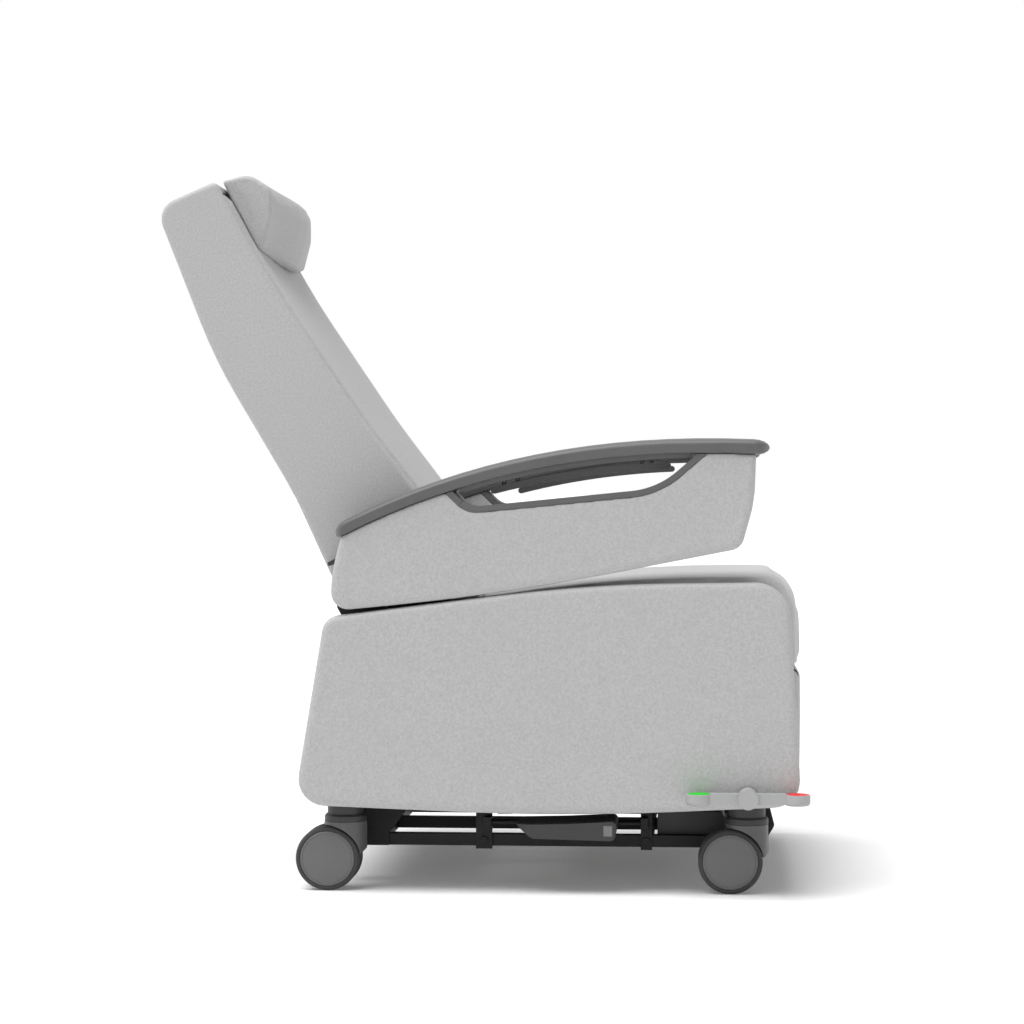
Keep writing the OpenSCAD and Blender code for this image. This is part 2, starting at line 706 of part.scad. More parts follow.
module footrest_board() {
    x0 = foot_back;
    y0 = -hinge_y + play;
    arm = rounded([[x0, foot_hinge_z - board_arm_h, 0, 0],
        [x0 + board_t + arm_shoulder, foot_hinge_z - board_arm_h, small_r, 2],
        [foot_hinge_x + plate_r, foot_hinge_z - board_foot, plate_r, 4],
        [foot_hinge_x + plate_r, foot_hinge_z + plate_r, plate_r, 6],
        [foot_hinge_x - plate_r, foot_hinge_z + plate_r, plate_r, 6],
        [x0, foot_hinge_z - 2 * plate_r, small_r, 3]]);
    color(dark_steel) difference() {
        union() {
            block([x0, y0, foot_bottom + board_foot], [x0 + board_t, -y0, foot_hinge_z - board_top]);
            both_sides() plate(arm, y0, y0 + board_arm_t);
        }
        both_sides() along_y(foot_hinge, hinge_pin_r + run, -hinge_y - over, -hinge_y + 2 * hinge_t);
    }
}
foot_lip = 6;
foot_lower_r = 14;
foot_face_r = 900;
function foot_outline(c) = [
    [foot_back + board_t + seam, foot_bottom + foot_lip, foot_lip, 3],
    [foot_front - tiny_r + c, foot_bottom, foot_lower_r, 6],
    [foot_front + c * 0.5, foot_hinge_z - board_arm_h, foot_face_r, 4],
    [foot_front, foot_hinge_z + nose_r, nose_r, 8],
    [foot_back + board_t + seam, foot_hinge_z + nose_r, nose_r, 5]];
foot_pull = 6;
foot_crown = 5;
slot_gap = 1;
module footrest_pad() {
    color(upholstery) difference() {
        loft([for (i = [0 : len(cushion_stations) - 1])
            let (s = cushion_stations[i])
            ring_at(s * foot_half, rounded(inset(foot_outline(foot_crown * (1 - s * s)),
                foot_pull * cushion_pulls[i])))]);
        both_sides() block([foot_back - over, -hinge_y - hinge_t - slot_gap,
                foot_hinge_z - board_arm_h - small_r],
            [foot_hinge_x + plate_r + slot_gap, -hinge_y + hinge_t + 3 * slot_gap,
                foot_hinge_z + nose_r + over]);
    }
}

// Back: outline of the body's side, from the lower rear corner round by the front
back_len = 510;
back_x = -2 - back_len;
back_z = top_z - 47;
back_h = 680;
back_shares = [[0.580, 0, 0.029, 4], [0.998, 0, 0.021, 4], [0.996, 0.082, 0.147, 7],
    [0.627, 0.444, 2.2, 4], [0.327, 0.779, 2.2, 4], [0.1725, 0.9956, 0.012, 3],
    [-0.0176, 0.934, 0.047, 6], [0.1706, 0.5765, 1.2, 4], [0.4157, 0.2676, 0.9, 3]];
function back_outline() = sized(back_shares, back_x, back_z, back_len, back_h);
function back_vertex(i) = flat2(back_outline()[i]);
back_top = back_vertex(5);                       // front corner of the back's top
back_down = unit(back_vertex(4) - back_top);     // down along the upper front
back_out = [-back_down[1], back_down[0]];        // square to it, to the front
function on_back(out, down) = back_top + back_out * out + back_down * down;

side_round = 6;
module back_shape() {
    steps = 4;
    half = [for (k = [0 : steps]) let (a = 90 * k / steps)
        [side_round * (1 - cos(a)), side_round * (1 - sin(a))]];
    loft(concat(
        [for (k = [0 : steps]) ring_at(-back_half + half[k][0], rounded(inset(back_outline(), half[k][1])))],
        [for (k = [steps : -1 : 0])
            ring_at(back_half - half[k][0], rounded(inset(back_outline(), half[k][1])))]));
}

// Steel frame of the back: pivot plates, cross tubes and two uprights
low_tube = recline_at + [-40, 88];
top_tube_off = [60, -120];              // from the back's rear top corner
top_tube = [back_x, back_z + back_h] + top_tube_off;
frame_tube_r = 12;
low_tube_r = 14;
upright_y = 150;
tube_end = 30;
pivot_half = 24;
pivot_low = 20;
pivot_top = 22;
pivot_r = 18;
module back_tubes(grow) {
    along_y(low_tube, low_tube_r + grow, -back_half + back_plate_t, back_half - back_plate_t);
    along_y(top_tube, frame_tube_r + grow, -upright_y - tube_end, upright_y + tube_end);
    lean = atan2(low_tube[0] - top_tube[0], top_tube[1] - low_tube[1]);
    for (s = [-1, 1]) translate([low_tube[0], s * upright_y, low_tube[1]]) rotate([0, -lean, 0])
        cylinder(r = frame_tube_r + grow, h = norm(top_tube - low_tube));
}
function pivot_outline(grow) = rounded(inset([
    [recline_at[0] - pivot_half, recline_at[1] - pivot_low, pivot_low, 6],
    [recline_at[0] + pivot_half, recline_at[1] - pivot_low, pivot_low, 6],
    [low_tube[0] + pivot_half, low_tube[1] + pivot_top, pivot_r, 5],
    [low_tube[0] - pivot_half, low_tube[1] + pivot_top, pivot_r, 5]], -grow));
module back_frame() {
    color(dark_steel) {
        difference() {
            both_sides() plate(pivot_outline(0), -back_half, -back_half + back_plate_t);
            along_y(recline_at, pin_r + run, -back_half - over, back_half + over);
        }
        back_tubes(0);
    }
}

pad_rim = 16;
pad_half = back_half - pad_rim;
pad_foot = 18;
pad_head = 14;
pad_lower_r = 13;
pad_top_r = 7;
pad_back_r = 900;
function pad_outline(c) =
    let (v = back_outline(), t = back_pad_t)
    [[v[1][0] - t, back_z + pad_foot, small_r, 2], [v[1][0] + 0.3 * c, back_z + pad_foot, pad_lower_r, 4],
     [v[2][0] + 0.8 * c, v[2][1] + 0.5 * c, v[2][2], 8],
     [v[3][0] + 0.83 * c, v[3][1] + 0.55 * c, v[3][2], 6],
     [v[4][0] + 0.4 * c, v[4][1] + 0.25 * c, v[4][2], 6],
     concat(on_back(0, pad_head), [pad_top_r, 4]), concat(on_back(-t, pad_head), [small_r, 2]),
     [v[4][0] - 0.87 * t, v[4][1] - 0.5 * t, pad_back_r, 3],
     [v[3][0] - 0.83 * t, v[3][1] - 0.55 * t, pad_back_r, 3]];
blade_t = 3;
blade_half = 60;
blade_depth = 8;
blade_len = 165;
blade_slack = 0.5;
blade_room = 4;
blade_rise = 30;
module blade_slit(extra) {
    thick = blade_t / 2 + extra;
    low = blade_len + blade_room;
    plate([on_back(-blade_depth - thick, low), on_back(-blade_depth + thick, low),
        on_back(-blade_depth + thick, -blade_rise), on_back(-blade_depth - thick, -blade_rise)],
        -blade_half - extra, blade_half + extra);
}
pad_room = 30;      // cut for the cushion's crown in front of the body
module back_body() {
    color(upholstery) difference() {
        back_shape();
        plate(rounded(inset(pad_outline(pad_room), -seam)), -pad_half - seam, pad_half + seam);
        back_tubes(seam);
        both_sides() plate(pivot_outline(seam), -back_half - over, -back_half + back_plate_t + seam);
        along_y(recline_at, pin_r + play, -back_half - over, back_half + over);
        blade_slit(blade_slack);
    }
}
back_pull = 5;
module back_cushion() {
    color(upholstery) difference() {
        loft([for (i = [0 : len(cushion_stations) - 1])
            let (s = cushion_stations[i])
            ring_at(s * pad_half, rounded(inset(pad_outline(back_crown * (1 - s * s)),
                back_pull * cushion_pulls[i])))]);
        blade_slit(blade_slack);
    }
}

// Headrest: drawn-in ends and a fuller middle, on a bent steel blade.
// Its outline is given out from the back's upper front and down from its top corner.
head_len = 160;
head_ends = [[1.6, 129], [14, 119], [46, 84], [67, 44], [46, 5], [1.6, -7]];
head_mids = [[5.9, 141], [24, 147], [75, 88], [80, 56], [38, 7], [5.9, -8]];
head_rounds = [[5, 3], [14, 5], [40, 4], [22, 7], [40, 5], [5, 3]];
function head_outline(f) = [for (i = [0 : len(head_ends) - 1])
    let (p = head_ends[i] + (head_mids[i] - head_ends[i]) * f)
    concat(on_back(p[0], p[1]), head_rounds[i])];
head_stations = [-1, -0.985, -0.95, -0.85, -0.7, -0.5, -0.25, 0, 0.25, 0.5, 0.7, 0.85, 0.95, 0.985, 1];
head_pulls = [1, 0.4, 0.1, 0, 0, 0, 0, 0, 0, 0, 0, 0, 0.1, 0.4, 1];
head_pull = 4;
module headrest() {
    color(upholstery) difference() {
        loft([for (i = [0 : len(head_stations) - 1])
            let (s = head_stations[i])
            ring_at(s * head_half, rounded(inset(head_outline(pow(1 - s * s, 2)),
                head_pull * head_pulls[i])))]);
        blade_legs(seam);
    }
}
blade_front = 14;
blade_top = -5;
blade_end = 75;
module blade_bar(a, b, grow) {
    out = (blade_t / 2 + grow) * unit([a[1] - b[1], b[0] - a[0]]);
    along = (blade_t / 2 + grow) * unit(b - a);
    plate([a - along - out, b + along - out, b + along + out, a - along + out],
        -blade_half - grow, blade_half + grow);
}
module blade_legs(grow) {
    blade_bar(on_back(blade_front, blade_top), on_back(blade_front, blade_end), grow);
    blade_bar(on_back(-blade_depth, blade_top), on_back(blade_front, blade_top), grow);
}
module headrest_blade() {
    color(dark_steel) {
        blade_legs(0);
        blade_bar(on_back(-blade_depth, blade_top), on_back(-blade_depth, blade_len), 0);
    }
}

// Arms: outline of the panel, the cap's path over it, the liner of the hand opening
arm_x = -229;
arm_len = 663;
arm_z = top_z - 47;
arm_h = 267;
arm_out = arm_in + arm_t;
arm_mid = (arm_in + arm_out) / 2;
arm_shares = [[0, -0.011, 0.101, 6], [0.406, 0.09, 13, 4], [0.961, 0.359, 0.085, 5],
    [0.991, 0.618, 0.75, 4], [1, 1.2, 0, 0], [0.1008, 1.2, 0, 0], [0.0045, 0.206, 0.9, 4]];
function arm_outline() = sized(arm_shares, arm_x, arm_z, arm_len, arm_h);
cap_path_shares = [[0.036, 0.524], [0.454, 1.049], [0.99, 0.9895]];
function cap_control(i) = [arm_x + arm_len * cap_path_shares[i][0], arm_z + arm_h * cap_path_shares[i][1]];
function cap_top(t) = cap_control(0) * pow(1 - t, 2) + cap_control(1) * 2 * t * (1 - t)
    + cap_control(2) * pow(t, 2);
function cap_run(t) = unit((cap_control(1) - cap_control(0)) * (1 - t)
    + (cap_control(2) - cap_control(1)) * t);
cap_steps = 16;
function under_cap(drop) = [for (k = [0 : cap_steps + 1]) cap_top(k / cap_steps) - [0, cap_t + drop]];

// Everything above the cap's underside, lowered by drop, between two values of Y
module above_cap(drop, y0, y1) {
    line = under_cap(drop);
    far = 4 * (line[0] - line[1]);
    past = [for (k = [1 : len(line) - 1]) line[k]];
    last = line[len(line) - 1];
    reach = cap_w;
    plate(concat([line[1] + far], past, [last + [reach, 0], last + [reach, 2 * reach],
        line[1] + far + [0, 4 * reach]]), y0, y1);
}

opening_shares = [[0.3216, 0.5595, 0.176, 8], [0.7719, 0.6707, 0.506, 10], [0.9246, 0.996, 0, 0],
    [0.9246, 1.2, 0, 0], [0.1395, 1.2, 0, 0], [0.1395, 1.011, 0, 0]];
function opening_outline() = sized(opening_shares, arm_x, arm_z, arm_len, arm_h);
module arm_panel_solid() {
    difference() {
        padded_panel(arm_outline(), -arm_out, arm_t, edge_r);
        above_cap(0, -arm_out - over, -arm_in + over);
        plate(rounded(opening_outline()), -arm_out - over, -arm_in + over);
    }
}
module arm_panel_right() { color(upholstery) on_side(-1) arm_panel_solid(); }
module arm_panel_left() { color(upholstery) on_side(1) arm_panel_solid(); }

trim_proud = 0.6;
module arm_trim() {
    y0 = -arm_out - trim_proud;
    y1 = -arm_in + trim_proud;
    difference() {
        plate(rounded(opening_outline()), y0, y1);
        above_cap(0, y0 - over, y1 + over);
        plate(rounded(inset(opening_outline(), trim_t)), y0 - over, y1 + over);
    }
}
module arm_trim_right() { color(moulding) on_side(-1) arm_trim(); }
module arm_trim_left() { color(moulding) on_side(1) arm_trim(); }

cap_section_shares = [[-0.36, 0], [0.36, 0], [0.45, 0.05], [0.47, 0.13], [0.5, 0.56], [0.485, 0.74],
    [0.44, 0.88], [0.34, 0.965], [0.18, 1], [0, 1.012], [-0.18, 1], [-0.34, 0.965], [-0.44, 0.88],
    [-0.485, 0.74], [-0.5, 0.56], [-0.47, 0.13], [-0.45, 0.05]];
function cap_ring(at, s) = [for (q = cap_section_shares)
    [at[0], -arm_mid + cap_w * q[0] * s, at[1] + cap_t * ((q[1] - 0.5) * s - 0.5)]];
nose_len = 25;
tail_len = 20;
nose_steps = 4;

// Keel under the cap, over the hand opening alone
keel_h = 6.5;
keel_half = 30;
keel_steps = 12;
keel_top_span_shares = [0.298, 0.87];
keel_low_span_shares = [0.312, 0.858];
function along_cap(span, k, n, drop) = under_at(span[0] + (span[1] - span[0]) * k / n, drop);
module keel() {
    plate(concat([for (k = [0 : keel_steps]) along_cap(keel_low_span_shares, k, keel_steps, keel_h)],
        [for (k = [keel_steps : -1 : 0]) along_cap(keel_top_span_shares, k, keel_steps, -small_r)]),
        -arm_mid - keel_half, -arm_mid + keel_half);
}
module arm_cap() {
    nose = [for (k = [nose_steps : -1 : 1]) let (a = 82 * k / nose_steps)
        cap_ring(cap_top(1) + nose_len * sin(a) * cap_run(1), cos(a))];
    body = [for (k = [cap_steps : -1 : 0]) cap_ring(cap_top(k / cap_steps), 1)];
    tail = [for (k = [1 : nose_steps]) let (a = 82 * k / nose_steps)
        cap_ring(cap_top(0) - tail_len * sin(a) * cap_run(0), cos(a))];
    difference() {
        union() {
            loft(concat(nose, body, tail));
            keel();
        }
        post_holes();
    }
}
module arm_cap_right() { color(moulding) on_side(-1) arm_cap(); }
module arm_cap_left() { color(moulding) on_side(1) arm_cap(); }

// Release bar under the cap, guided by two pairs of posts
bar_y = -320;
bar_w = 20;
bar_t = 10.5;
bar_gap = 5;
bar_drop = keel_h + bar_gap;
bar_span_shares = [0.392, 0.809];       // where the bar starts and ends along the cap's path
post_r = 3.5;
post_in = 12;
post_play = 0.4;
post_shares = [0.4167, 0.4515, 0.75, 0.7728];
post_travel = 4;
function under_at(t, drop) = cap_top(t) - [0, cap_t + drop];
module posts(r, up, down) {
    for (t = post_shares) let (p = under_at(t, 0))
        translate([p[0], bar_y, p[1] - down]) cylinder(r = r, h = down + up, $fn = 24);
}
module post_holes() { posts(post_r + post_play, post_in + post_travel + play, bar_drop - play); }
module release_bar() {
    n = 14;
    span = bar_span_shares[1] - bar_span_shares[0];
    upper = [for (k = [0 : n]) under_at(bar_span_shares[0] + span * k / n, bar_drop)];
    lower = [for (k = [n : -1 : 0]) upper[k] - [0, bar_t]];
    plate(concat(upper, lower), bar_y - bar_w / 2, bar_y + bar_w / 2);
    for (k = [0, n])
        along_y(upper[k] - [0, bar_t / 2], bar_t / 2, bar_y - bar_w / 2, bar_y + bar_w / 2);
    posts(post_r, post_in, bar_drop + bar_t / 4);
}
module release_bar_right() { color(moulding) on_side(-1) release_bar(); }
module release_bar_left() { color(moulding) on_side(1) release_bar(); }

// Steel plate on the arm's inner face, with the bore that turns on the lift pin
latch_at = [-207, top_z + 55];
latch_pin_r = 3;
latch_head = 2;
boss_r = 22;
boss_front = 18;
arm_plate_shares = [[0.285, 0.0535, 1.12, 4], [0.7225, 0.292, 0.045, 4], [0.7225, 0.397, 0.045, 4],
    [0.285, 0.3, 0.225, 5], [0.119, 0.393, 0.075, 4], [0.05, 0.3745, 0.052, 4]];
module arm_frame() {
    low = stop_at[1] + stop_r + seam;
    outline = rounded(concat([[lift_at[0] - boss_r, lift_at[1] - boss_r, boss_r - play, 8],
        [lift_at[0] + boss_front, lift_at[1] - boss_r, 3 * small_r, 4],
        [lift_at[0] + boss_front + plate_r, low, small_r, 2]],
        sized(arm_plate_shares, arm_x, arm_z, arm_len, arm_h)));
    difference() {
        plate(outline, -arm_in, -arm_plate_in);
        along_y(lift_at, pin_r + run, -arm_in - over, -arm_plate_in + over);
    }
    along_y(latch_at, latch_pin_r, -arm_in, -arm_plate_in + latch_head);
    along_y(latch_at, latch_pin_r + latch_head, -arm_plate_in + seam, -arm_plate_in + latch_head);
}
module arm_frame_right() { color(dark_steel) on_side(-1) arm_frame(); }
module arm_frame_left() { color(dark_steel) on_side(1) arm_frame(); }

// Latch lever behind the arm's rear edge: head, tapering toe and a finger tail
latch_h = 70;
latch_shares = [[-0.171, 0.114, 0.071, 5], [-0.257, -0.314, 0.143, 5], [-0.514, -0.443, 0.043, 3],
    [-0.486, -0.529, 0.029, 3], [-0.271, -0.443, 0.086, 4], [-0.286, -0.886, 0.014, 1],
    [-0.1, -0.314, 0.429, 4], [0.1, 0.114, 0.071, 5]];
module arm_latch() {
    difference() {
        plate(rounded(sized(latch_shares, latch_at[0], latch_at[1], latch_h, latch_h)),
            -arm_in + seam, -arm_plate_in);
        along_y(latch_at, latch_pin_r + run, -arm_in - over, -arm_plate_in + over);
    }
}
module arm_latch_right() { color("#1f1f1f") on_side(-1) arm_latch(); }
module arm_latch_left() { color("#1f1f1f") on_side(1) arm_latch(); }

chassis_frame();
caster_sockets();
underframe_rails();
hanger_brackets();
frame_bolts();
linkage_cover();
seat_frame();
seat_posts();
seat_deck();
base_side_left();
base_side_right();
base_rear_cover();
seat_cushion();
side_plate_left();
side_plate_right();
pivot_pins();
footrest_hinges();
footrest_board();
footrest_pad();
caster_fork_fl();
caster_fork_fr();
caster_fork_rl();
caster_fork_rr();
caster_rims_fl();
caster_rims_fr();
caster_rims_rl();
caster_rims_rr();
caster_tyres_fl();
caster_tyres_fr();
caster_tyres_rl();
caster_tyres_rr();
brake_shaft_front();
brake_shaft_rear();
brake_rod();
brake_pedal_left();
brake_pedal_right();
brake_pads_green();
brake_pads_red();
foot_pedal_left();
foot_pedal_right();
pedal_insert_left();
pedal_insert_right();
pedal_rods();
back_frame();
back_body();
back_cushion();
headrest();
headrest_blade();
arm_frame_left();
arm_frame_right();
arm_panel_left();
arm_panel_right();
arm_cap_left();
arm_cap_right();
arm_trim_left();
arm_trim_right();
release_bar_left();
release_bar_right();
arm_latch_left();
arm_latch_right();
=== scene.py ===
"""Looks of the patient recliner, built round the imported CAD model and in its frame.

Lengths are metres. X runs to the chair's front, Y to the sitter's left and Z up from the
floor. The photograph sees the chair's right side, from -Y.
"""
import json
import math

import bmesh
import bpy
import numpy as np
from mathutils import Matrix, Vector


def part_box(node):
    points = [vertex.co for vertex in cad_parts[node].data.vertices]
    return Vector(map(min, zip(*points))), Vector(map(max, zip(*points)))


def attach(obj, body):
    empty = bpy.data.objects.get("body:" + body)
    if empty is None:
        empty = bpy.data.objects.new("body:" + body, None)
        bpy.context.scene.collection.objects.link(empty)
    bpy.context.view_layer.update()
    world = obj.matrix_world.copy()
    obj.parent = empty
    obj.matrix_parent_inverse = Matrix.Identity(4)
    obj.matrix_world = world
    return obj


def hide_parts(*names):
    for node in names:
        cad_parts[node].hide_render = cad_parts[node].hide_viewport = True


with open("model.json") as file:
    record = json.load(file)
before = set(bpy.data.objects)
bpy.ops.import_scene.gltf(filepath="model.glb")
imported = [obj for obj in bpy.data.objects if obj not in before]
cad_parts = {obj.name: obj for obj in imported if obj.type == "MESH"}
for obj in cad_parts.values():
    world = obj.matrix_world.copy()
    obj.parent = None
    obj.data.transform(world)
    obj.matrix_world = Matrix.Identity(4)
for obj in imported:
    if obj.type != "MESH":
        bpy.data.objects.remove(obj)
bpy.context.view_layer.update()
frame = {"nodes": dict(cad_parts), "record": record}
nodes = frame["nodes"]
scene = bpy.context.scene
scene.view_settings.view_transform = "Standard"


# Camera at the photograph's angle, in degrees and with its lens in millimetres
SENSOR = 36
LENS = 94.92
CAMERA_PLACE = (0.3445, -4.53, 0.6245)
CAMERA_TILT = 89.55
CAMERA_TURN = 3.98


def add_camera():
    data = bpy.data.cameras.new("photo_camera")
    data.sensor_width = SENSOR
    data.lens = LENS
    camera = bpy.data.objects.new("photo_camera", data)
    camera.location = CAMERA_PLACE
    camera.rotation_euler = (math.radians(CAMERA_TILT), 0, math.radians(CAMERA_TURN))
    scene.collection.objects.link(camera)
    scene.camera = camera


add_camera()


# Node graphs
class Graph:
    """A material's nodes, added one at a time and joined by name."""

    def __init__(self, name):
        self.material = bpy.data.materials.new(name)
        self.material.use_nodes = True
        self.tree = self.material.node_tree
        self.tree.nodes.clear()
        self.output = self.tree.nodes.new("ShaderNodeOutputMaterial")

    def add(self, kind, inputs=None, **settings):
        node = self.tree.nodes.new("ShaderNode" + kind)
        for key, value in settings.items():
            setattr(node, key, value)
        for key, value in (inputs or {}).items():
            if isinstance(value, bpy.types.NodeSocket):
                self.tree.links.new(value, node.inputs[key])
            else:
                node.inputs[key].default_value = value
        return node

    def noise(self, scale, detail=3.0, roughness=0.55):
        place = self.add("TexCoord").outputs["Object"]
        return self.add("TexNoise", {"Vector": place, "Scale": scale, "Detail": detail,
                                     "Roughness": roughness}).outputs["Fac"]

    def cells(self, scale):
        place = self.add("TexCoord").outputs["Object"]
        return self.add("TexVoronoi", {"Vector": place, "Scale": scale}).outputs["Distance"]

    def spread(self, value, low, high, start=0.3, end=0.7):
        return self.add("MapRange", {"Value": value, "From Min": start, "From Max": end,
                                     "To Min": low, "To Max": high}).outputs["Result"]

    def blend(self, factor, one, two):
        return self.add("Mix", {"Factor": factor, "A": one, "B": two},
                        data_type="RGBA").outputs["Result"]

    def mul(self, one, two):
        return self.add("Math", {0: one, 1: two}, operation="MULTIPLY").outputs[0]

    def plus(self, one, two):
        return self.add("Math", {0: one, 1: two}, operation="ADD").outputs[0]

    def bump(self, height, strength, distance, after=None):
        inputs = {"Height": height, "Strength": strength, "Distance": distance}
        if after is not None:
            inputs["Normal"] = after
        return self.add("Bump", inputs).outputs["Normal"]

    def finish(self, **inputs):
        names = {key.replace("_", " "): value for key, value in inputs.items()}
        shader = self.add("BsdfPrincipled", names)
        self.tree.links.new(shader.outputs[0], self.output.inputs["Surface"])
        return self.material


def grey(level, tint=0.0):
    """A linear grey, a little cooler where tint is above 0."""
    return (level * (1 - tint), level, level * (1 + tint), 1)


def upholstery():
    """Coated fabric: pressed grain, fine mottling, faint broad unevenness and a painted highlight
    along convex edges.
    """
    g = Graph("coated_fabric")
    mottle = g.noise(300, 2.0, 0.6)
    fine = g.noise(900, 2.0, 0.6)
    broad = g.noise(7, 2.0)
    pores = g.cells(950)
    shade = g.blend(g.spread(mottle, 0, 1), grey(0.4), grey(0.53))
    shade = g.blend(g.spread(fine, 0, 0.45), shade, grey(0.56))
    shade = g.blend(g.spread(broad, 0, 0.16), shade, grey(0.44, 0.01))
    # Painted highlight: convex edges are lightened in the base colour, standing in for the light
    # that the rounded edges catch
    edges = g.add("NewGeometry").outputs["Pointiness"]
    shade = g.blend(g.spread(edges, 0, 0.55, 0.53, 0.6), shade, grey(0.66))
    grain = g.bump(pores, 0.22, 0.0004)
    grain = g.bump(mottle, 0.12, 0.0008, grain)
    rough = g.spread(fine, 0.5, 0.64)
    return g.finish(Base_Color=shade, Roughness=rough, Specular_IOR_Level=0.35,
                    Sheen_Weight=0.08, Sheen_Roughness=0.5, Normal=grain)


def moulding(name, level, rough, grain=0.1, worn=0.12):
    """Moulded plastic: fine spark texture, uneven gloss and faint handling marks."""
    g = Graph(name)
    fine = g.noise(1500, 2.0)
    broad = g.noise(14, 3.0)
    shade = g.blend(g.spread(broad, 0, 1), grey(level * (1 - worn), 0.005),
                    grey(level * (1 + worn), 0.005))
    shade = g.blend(g.spread(fine, 0, 0.5), shade, grey(level * 1.1))
    gloss = g.plus(g.spread(broad, rough - 0.05, rough + 0.05), g.spread(fine, -0.03, 0.03))
    return g.finish(Base_Color=shade, Roughness=gloss, Normal=g.bump(fine, grain, 0.0004))


def painted_steel():
    """Black powder coat: orange peel, and broad patches of dust and dull scuffs."""
    g = Graph("powder_coat")
    peel = g.noise(420, 2.0)
    broad = g.noise(22, 4.0)
    shade = g.blend(g.spread(broad, 0, 1, 0.35, 0.8), grey(0.005), grey(0.013))
    return g.finish(Base_Color=shade, Roughness=g.spread(broad, 0.42, 0.58),
                    Specular_IOR_Level=0.3, Normal=g.bump(peel, 0.12, 0.0006))


def zinc():
    """Zinc plate: fine cross grain and cloudy patches."""
    g = Graph("zinc_plate")
    cloud = g.noise(60, 4.0)
    fine = g.noise(1300, 2.0)
    shade = g.blend(g.spread(cloud, 0, 1), (0.36, 0.37, 0.38, 1), (0.52, 0.53, 0.54, 1))
    return g.finish(Base_Color=shade, Metallic=1.0, Roughness=g.spread(cloud, 0.28, 0.45),
                    Normal=g.bump(fine, 0.08, 0.0003))


def rubber(name, colour, darker, rough):
    """Rubber or soft pad: matt, with broad dusty patches and a fine grain."""
    g = Graph(name)
    fine = g.noise(1200, 3.0)
    broad = g.noise(35, 3.0)
    shade = g.blend(g.spread(broad, 0, 1), darker, colour)
    return g.finish(Base_Color=shade, Roughness=g.spread(fine, rough - 0.08, rough + 0.08),
                    Normal=g.bump(fine, 0.14, 0.0004))


def plywood():
    """Birch plywood: long grain along the board."""
    g = Graph("plywood")
    place = g.add("TexCoord").outputs["Object"]
    run = g.add("Mapping", {"Vector": place, "Scale": (1.5, 26, 26)}).outputs["Vector"]
    grain = g.add("TexNoise", {"Vector": run, "Scale": 9, "Detail": 5}).outputs["Fac"]
    shade = g.blend(g.spread(grain, 0, 1), (0.46, 0.30, 0.15, 1), (0.6, 0.43, 0.25, 1))
    return g.finish(Base_Color=shade, Roughness=0.62, Normal=g.bump(grain, 0.2, 0.0006))


FINISHES = {
    "upholstery": upholstery(),
    "frame_steel": painted_steel(),
    "zinc_steel": zinc(),
    "grey_moulding": moulding("cap_moulding", 0.105, 0.5),
    "dark_moulding": moulding("cover_moulding", 0.03, 0.5),
    "caster_plastic": moulding("caster_moulding", 0.128, 0.36, 0.06, 0.08),
    "tyre_rubber": rubber("tyre_rubber", grey(0.05), grey(0.036), 0.75),
    "pale_plastic": moulding("pedal_moulding", 0.4, 0.42, 0.06, 0.06),
    "green_pad": rubber("green_pad", (0.004, 0.6, 0.006, 1), (0.003, 0.53, 0.005, 1), 0.5),
    "red_pad": rubber("red_pad", (0.75, 0.008, 0.012, 1), (0.66, 0.007, 0.01, 1), 0.5),
    "deck_board": plywood(),
}
# Finishes of single nodes, by the start of their name, where the slot's own doesn't suit
OWN_FINISHES = {
    "foot_pedal": moulding("release_pedal_moulding", 0.027, 0.48),
    "caster_sockets": moulding("socket_moulding", 0.025, 0.5),
    "caster_fork": moulding("housing_moulding", 0.09, 0.42, 0.06, 0.08),
    "pedal_insert": moulding("insert_moulding", 0.17, 0.45),
}


def finish_of(name, slot):
    for start, finish in OWN_FINISHES.items():
        if name.startswith(start):
            return finish
    return FINISHES[slot]


# Hard parts keep their CAD shape and get broken edges and their finish
EDGE_WIDTH = 0.0007
EDGE_ANGLE = 38
WELD_REACH = 0.00002


def dress_hard_parts(soft_nodes):
    for part in frame["record"]["subparts"]:
        name, slot = part["node"], part["material_slot"]
        if name in soft_nodes:
            continue
        piece = nodes[name]
        piece.data.materials.clear()
        piece.data.materials.append(finish_of(name, slot))
        weld = piece.modifiers.new("weld", "WELD")
        weld.merge_threshold = WELD_REACH
        edge = piece.modifiers.new("edge", "BEVEL")
        edge.width = EDGE_WIDTH
        edge.segments = 2
        edge.limit_method = "ANGLE"
        edge.angle_limit = math.radians(EDGE_ANGLE)
        edge.use_clamp_overlap = True
        normals = piece.modifiers.new("normals", "WEIGHTED_NORMAL")
        normals.keep_sharp = False


# Soft parts: their skin's smoothing, then cloth under pressure, drawn in by SHRINK before it swells
SMOOTHING = 0.5
FIRST_PASSES = 4
SHRINK = 0.001
PRESSURE = 4.0
STIFFNESS = 18
BENDING = 1.5
CLOTH_QUALITY = 5
CLOTH_FRAMES = 20


def new_piece(name, mesh):
    piece = bpy.data.objects.new(name, mesh)
    scene.collection.objects.link(piece)
    return piece


def bake(piece):
    """The piece's modifiers become its mesh."""
    graph = bpy.context.evaluated_depsgraph_get()
    mesh = bpy.data.meshes.new_from_object(piece.evaluated_get(graph))
    old = piece.data
    piece.modifiers.clear()
    piece.data = mesh
    mesh.name = piece.name
    bpy.data.meshes.remove(old)


def hull(mesh):
    """The mesh's convex hull, which closes the cuts for the hinges."""
    shape = bmesh.new()
    shape.from_mesh(mesh)
    made = bmesh.ops.convex_hull(shape, input=shape.verts)
    left = {item for item in made["geom_interior"] + made["geom_unused"]
            if isinstance(item, bmesh.types.BMVert)}
    bmesh.ops.delete(shape, geom=list(left), context="VERTS")
    kept = set(made["geom"])
    inner = [face for face in shape.faces if face not in kept]
    bmesh.ops.delete(shape, geom=inner, context="FACES")
    bmesh.ops.recalc_face_normals(shape, faces=shape.faces)
    shape.to_mesh(mesh)
    shape.free()


